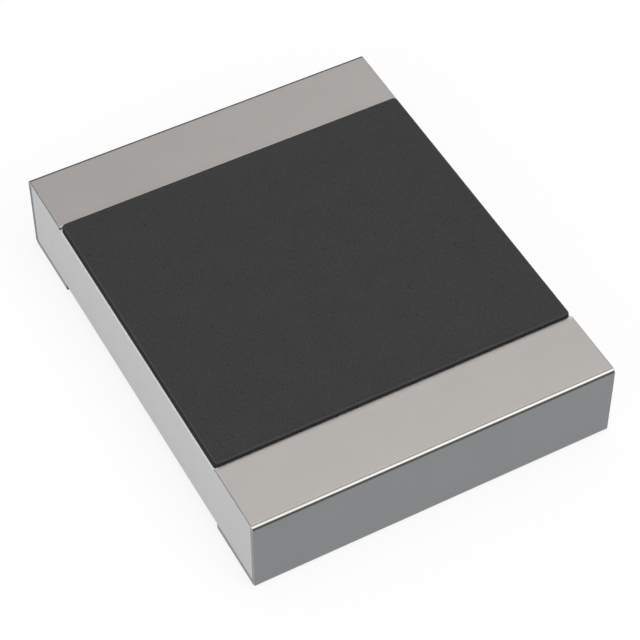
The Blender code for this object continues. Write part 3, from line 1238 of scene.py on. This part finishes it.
@dataclass
class CoverCoat:
    """The black cover coat: a level lid with a rounded rim, hollow where the layers under it lie.

    Attributes:
        edge: The radius of its upper edge.
        corner: The radius of its corners in plan, at the foot.
        top_corner: The least that this radius comes down to, on the top.
        narrowing: How much their radius shrinks inwards, as a share of the way in.
        ridge: The height of the faint ridge that the print leaves inside its edge.
        ridge_inset: How far inside the top's edge the ridge's crest runs.
        ridge_width: How far from its crest the ridge falls away.
        swell: How far its top waves.
        swell_size: The distance between its waves.
        calm: How far inside the top's edge the waves reach their full height.
        bank: The width of the finely stepped band round the top.
        skirt: The thickness of the rim beside the pads.
        foot: How far its long sides spread at their foot.
        foot_height: How high this spread reaches.
        hollow_corner: The radius of the hollow's corners in plan.
        wall_rows: Where its wall has rings, as shares of the wall's height.
        edge_steps: Stretches round the upper edge.
        bank_steps: Stretches across the band round the top.
        side_steps: Stretches in each straight side of its rings.
        corner_steps: Stretches in each corner of its rings.
        low: The lowest corner of its solid.
        high: The highest corner of its solid.
    """

    edge: float = 0.014 * MM
    corner: float = 0.030 * MM
    top_corner: float = 0.006 * MM
    narrowing: float = 1.2
    ridge: float = 0.6 * MICRON
    ridge_inset: float = 0.006 * MM
    ridge_width: float = 0.010 * MM
    swell: float = 0.8 * MICRON
    swell_size: float = 0.22 * MM
    calm: float = 0.03 * MM
    bank: float = 0.10 * MM
    skirt: float = 6.3 * MICRON
    foot: float = 4.0 * MICRON
    foot_height: float = 0.020 * MM
    hollow_corner: float = 0.003 * MM
    wall_rows: tuple[float, ...] = (0.0, 0.25, 0.5, 1.0)
    edge_steps: int = 12
    bank_steps: int = 16
    side_steps: int = 44
    corner_steps: int = 8
    low: Vector = field(init=False)
    high: Vector = field(init=False)

    def __post_init__(self) -> None:
        """Read the cover's place from its solid."""
        self.low, self.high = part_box("overcoat")

    def build(self) -> bpy.types.Object:
        """Make the lid from level rings, outside first, then the hollow.

        Returns:
            The piece.
        """
        body = ClosedMesh("cover_coat")
        spring = self.high.z - self.edge
        levels = [(0.0, self.low.z + (spring - self.low.z) * share) for share in self.wall_rows]
        for angle in steps(0, QUARTER, self.edge_steps)[1:]:
            inset = self.edge * (1 - math.cos(angle))
            levels.append((inset, spring + self.edge * math.sin(angle)))
        for inset in steps(self.edge, self.edge + self.bank, self.bank_steps)[1:]:
            levels.append((inset, self.high.z))
        rings = [body.loop(self.ring(*level)) for level in levels]
        for below, above in zip(rings, rings[1:]):
            body.strip(below, above)
        self.close_top(body, rings[-1])
        self.hollow_out(body, rings[0])
        return body.piece(COVER, "overcoat")

    def hollow_out(self, body: ClosedMesh, foot: Sequence[int]) -> None:
        """Close the lid from below round the layers that it covers.

        Args:
            body: The body to close.
            foot: The lowest ring's points.
        """
        pads_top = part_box("top_electrode_far")[1].z + LAYER_GAP
        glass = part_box("primary_glass")[1]
        outline = (self.high.x - self.skirt, self.high.y - self.skirt)
        raised = (glass.x + LAYER_GAP, glass.y + LAYER_GAP)
        hollow = [
            (outline, self.low.z),
            (outline, pads_top),
            (raised, pads_top),
            (raised, glass.z + LAYER_GAP),
        ]
        under = foot
        for half, level in hollow:
            ring = body.loop(
                rounded_plan(half, self.hollow_corner, level, self.side_steps, self.corner_steps)
            )
            body.strip(under, ring)
            under = ring
        body.fill(under)

    def ring(self, inset: float, level: float) -> list[Point]:
        """The lid's plan at one inset and level, with the top's ridge and waves.

        Args:
            inset: How far inside the outline.
            level: The height.

        Returns:
            The ring's points.
        """
        spread = self.foot * max(0.0, 1 - (level - self.low.z) / self.foot_height) ** 2
        half = (self.high.x - inset + spread, self.high.y - inset)
        radius = max(self.top_corner, self.corner - self.narrowing * inset)
        points = []
        for x, y, z in rounded_plan(half, radius, level, self.side_steps, self.corner_steps):
            if inset >= self.edge:
                z -= self.sink(x, y, inset - self.edge)
            points.append((x - COVER_SLIP, y - COVER_SHIFT, z))
        return points

    def sink(self, x: float, y: float, inside: float) -> float:
        """How far the top lies below its highest level.

        Args:
            x: The point's place across.
            y: The point's place along.
            inside: Its distance inside the top's edge.

        Returns:
            The depth, never less than nothing.
        """
        crest = math.exp(-(((inside - self.ridge_inset) / self.ridge_width) ** 2))
        rise = eased(inside / self.calm)
        wave = waves((x, y, 0.0), self.swell_size, self.swell)
        return self.ridge * (1 - crest) + rise * (self.swell - wave)

    def close_top(self, body: ClosedMesh, ring: Sequence[int]) -> None:
        """Fill the top with a fine grid whose rim is the last ring.

        Args:
            body: The body to fill.
            ring: The last ring's points.
        """
        span = self.side_steps + self.corner_steps
        first = self.corner_steps // 2
        edges = [
            [ring[(first + side * span + step) % len(ring)] for step in range(span + 1)]
            for side in range(4)
        ]
        near, far = edges[2], edges[0][::-1]
        left, right = edges[1][::-1], edges[3]
        rows = [near]
        for row in range(1, span):
            places = [left[row]]
            for column in range(1, span):
                x, y = self.crossing(body, (near, far, left, right), column, row)
                places += body.loop([(x, y, self.high.z - self.sink(x, y, self.bank))])
            rows.append(places + [right[row]])
        rows.append(far)
        for low, high in zip(rows, rows[1:]):
            body.strip(low, high, closed=False)

    @staticmethod
    def crossing(
        body: ClosedMesh, rims: Sequence[Sequence[int]], column: int, row: int
    ) -> Pair:
        """A grid point's place, blended from the four rims.

        Args:
            body: The body that holds the rims' points.
            rims: The near, far, left and right rims.
            column: The point's column.
            row: The point's row.

        Returns:
            Its place across and along.
        """
        near, far, left, right = rims
        across = column / (len(near) - 1)
        along = row / (len(left) - 1)
        found = []
        for axis in range(2):
            def at(rim: Sequence[int], step: int) -> float:
                """One rim point's place along this axis."""
                return body.points[rim[step]][axis]

            value = (1 - along) * at(near, column) + along * at(far, column)
            value += (1 - across) * at(left, row) + across * at(right, row)
            value -= (1 - across) * ((1 - along) * at(near, 0) + along * at(far, 0))
            value -= across * ((1 - along) * at(near, -1) + along * at(far, -1))
            found.append(value)
        return found[0], found[1]


class BuriedLayers:
    """The layers sealed inside the part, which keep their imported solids."""

    def dress(self) -> None:
        """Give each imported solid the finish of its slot."""
        slots = {row["node"]: row["material_slot"] for row in frame["record"]["subparts"]}
        for name, item in frame["nodes"].items():
            finish = BURIED.get(slots[name])
            if finish is None:
                continue
            for place in item.material_slots:
                place.material = finish.material()
            log.info("%s: %s", name, finish.name)


# Studio


@dataclass
class Lamp:
    """A soft rectangular lamp aimed at the part.

    Attributes:
        name: Its name.
        towards: The direction from the part to the lamp.
        size: Its width and height.
        radiance: How bright its face is, where 1 is white.
        distance: How far away it stands.
    """

    name: str
    towards: Point
    size: Pair
    radiance: float
    distance: float = 90 * MM

    def build(self) -> bpy.types.Object:
        """Hang the lamp.

        Returns:
            The lamp.
        """
        data = bpy.data.lights.new(self.name, "AREA")
        data.shape = "RECTANGLE"
        data.size, data.size_y = self.size
        data.energy = math.pi * self.size[0] * self.size[1] * self.radiance
        item = bpy.data.objects.new(self.name, data)
        direction = Vector(self.towards).normalized()
        item.location = direction * self.distance
        item.rotation_mode = "QUATERNION"
        item.rotation_quaternion = direction.to_track_quat("Z", "Y")
        item.visible_camera = False
        bpy.context.scene.collection.objects.link(item)
        return item


@dataclass
class Studio:
    """The floor, the even light round the part, the lamps and the camera.

    Attributes:
        ambient: How bright the surrounding light is.
        floor_half: Half the floor's side.
        floor_drop: How far below the part the floor lies.
        floor_colour: The floor's linear colour, which its light on the part comes from.
        floor_seen: Its linear colour where the background is seen, which sets the shadow's depth.
        floor_lift: How much the floor's own white adds for what sees the background.
        flag_radius: How far away the dark flags stand.
        flag_colour: Their linear colour.
        flag_count: How many there are.
        flag_rise: How high they stand on average, in degrees above the floor.
        flag_swing: How much higher or lower than this they stand, in degrees.
        flag_peak: In which direction they stand highest, in degrees from the X axis.
        lens: The camera's lens.
        sensor: The width of its sensor, in the lens's unit.
        clip: The nearest and the farthest that it sees.
        eye: Where it stands.
        turn: Which way it looks.
    """

    ambient: float = 0.42
    floor_half: float = 300 * MM
    floor_drop: float = 0.2 * MICRON
    floor_colour: Colour = (0.72, 0.72, 0.72)
    floor_seen: Colour = (0.22, 0.22, 0.22)
    floor_lift: float = 0.82
    flag_radius: float = 140 * MM
    flag_colour: Colour = (0.04, 0.10, 0.14)
    flag_count: int = 48
    flag_rise: float = 25.0
    flag_swing: float = 21.0
    flag_peak: float = 145.0
    lens: float = 133.70815
    sensor: float = 36.0
    clip: Pair = (1.0 * MM, 2.0)
    eye: Point = (-4.71722912 * MM, -8.84023259 * MM, 11.82053123 * MM)
    turn: tuple[float, float, float, float] = (0.90905133, 0.33641469, -0.08474901, -0.23079958)

    def build(self) -> None:
        """Set up the whole studio."""
        self.world()
        self.floor()
        self.flags()
        wide = (80 * MM, 80 * MM)
        lamps = [
            Lamp("overhead_lamp", towards=(0.2, -0.05, 1.0), size=wide, radiance=1.1),
            Lamp("edge_lamp", towards=(0.33, -0.66, 0.68), size=(48 * MM, 44 * MM), radiance=1.5),
            Lamp("left_lamp", towards=(-0.72, -0.40, 0.57), size=wide, radiance=0.9),
        ]
        for lamp in lamps:
            lamp.build()
        self.camera()
        bpy.context.scene.view_settings.view_transform = "Standard"

    @staticmethod
    def background_seen(graph: Graph) -> Signal:
        """What the camera sees: straight, in a reflection or through glass.

        Args:
            graph: The graph that asks.

        Returns:
            1 for what it sees, else 0.
        """
        path = graph.add("ShaderNodeLightPath", output="Is Camera Ray")
        mirrored = path.out("Is Glossy Ray")
        return path.largest(mirrored).largest(path.out("Is Transmission Ray"))

    def world(self) -> None:
        """White all round where it is seen, and even soft light."""
        world = bpy.data.worlds.new("pale surround")
        bpy.context.scene.world = world
        world.use_nodes = True
        graph = Graph(world.node_tree)
        strength = self.background_seen(graph).blend(self.ambient, 1.0)
        values = {"Color": (1.0, 1.0, 1.0, 1.0), "Strength": strength}
        graph.close("ShaderNodeOutputWorld", graph.add("ShaderNodeBackground", None, values))

    @staticmethod
    def prop(
        name: str, points: list[Point], faces: list[tuple[int, ...]]
    ) -> tuple[bpy.types.Object, Graph]:
        """A plain studio prop with an empty material.

        Args:
            name: Its name.
            points: Its points.
            faces: Its faces.

        Returns:
            The prop and its material's graph.
        """
        mesh = bpy.data.meshes.new(name)
        mesh.from_pydata(points, [], faces)
        item = bpy.data.objects.new(name, mesh)
        bpy.context.scene.collection.objects.link(item)
        material = bpy.data.materials.new(name + " paint")
        material.use_nodes = True
        mesh.materials.append(material)
        return item, Graph(material.node_tree)

    def floor(self) -> None:
        """A plain pale floor that keeps a soft shadow."""
        half = self.floor_half
        corners = [(-half, -half), (half, -half), (half, half), (-half, half)]
        points = [(x, y, -self.floor_drop) for x, y in corners]
        _, graph = self.prop("floor", points, [(0, 1, 2, 3)])
        seen = self.background_seen(graph)
        colour = graph.mix(seen, self.floor_colour, self.floor_seen)
        matte = graph.add("ShaderNodeBsdfDiffuse", None, {"Color": colour})
        glow = graph.add("ShaderNodeEmission", None, {"Strength": self.floor_lift * seen})
        both = graph.add("ShaderNodeAddShader", None, {0: matte, 1: glow})
        graph.close("ShaderNodeOutputMaterial", both)

    def flags(self) -> None:
        """Dark flags all round, lower in front, which draw the dark lines along bright metal."""
        points: list[Point] = []
        for index in range(self.flag_count):
            angle = 2 * math.pi * index / self.flag_count
            swing = self.flag_swing * math.cos(angle - math.radians(self.flag_peak))
            height = self.flag_radius * math.tan(math.radians(self.flag_rise + swing))
            x, y = self.flag_radius * math.cos(angle), self.flag_radius * math.sin(angle)
            points += [(x, y, 0.0), (x, y, height)]
        faces = []
        for index in range(self.flag_count):
            after = 2 * ((index + 1) % self.flag_count)
            faces.append((2 * index, after, after + 1, 2 * index + 1))
        item, graph = self.prop("flags", points, faces)
        matte = graph.add("ShaderNodeBsdfDiffuse", None, {"Color": (*self.flag_colour, 1.0)})
        graph.close("ShaderNodeOutputMaterial", matte)
        item.visible_camera = False
        item.visible_diffuse = False
        item.visible_shadow = False

    def camera(self) -> None:
        """The camera, at the photograph's viewing angle."""
        data = bpy.data.cameras.new("camera")
        data.sensor_width = self.sensor
        data.lens = self.lens
        data.clip_start, data.clip_end = self.clip
        item = bpy.data.objects.new("camera", data)
        item.location = self.eye
        item.rotation_mode = "QUATERNION"
        item.rotation_quaternion = Quaternion(self.turn)
        bpy.context.scene.collection.objects.link(item)
        bpy.context.scene.camera = item


def main() -> None:
    """Build the part's pieces, then the studio."""
    logging.basicConfig(level=logging.INFO, format="%(name)s %(message)s")
    CeramicBlock().build()
    for end in End:
        Termination(end).build()
    CoverCoat().build()
    BuriedLayers().dress()
    Studio().build()


if __name__ == "__main__":
    main()
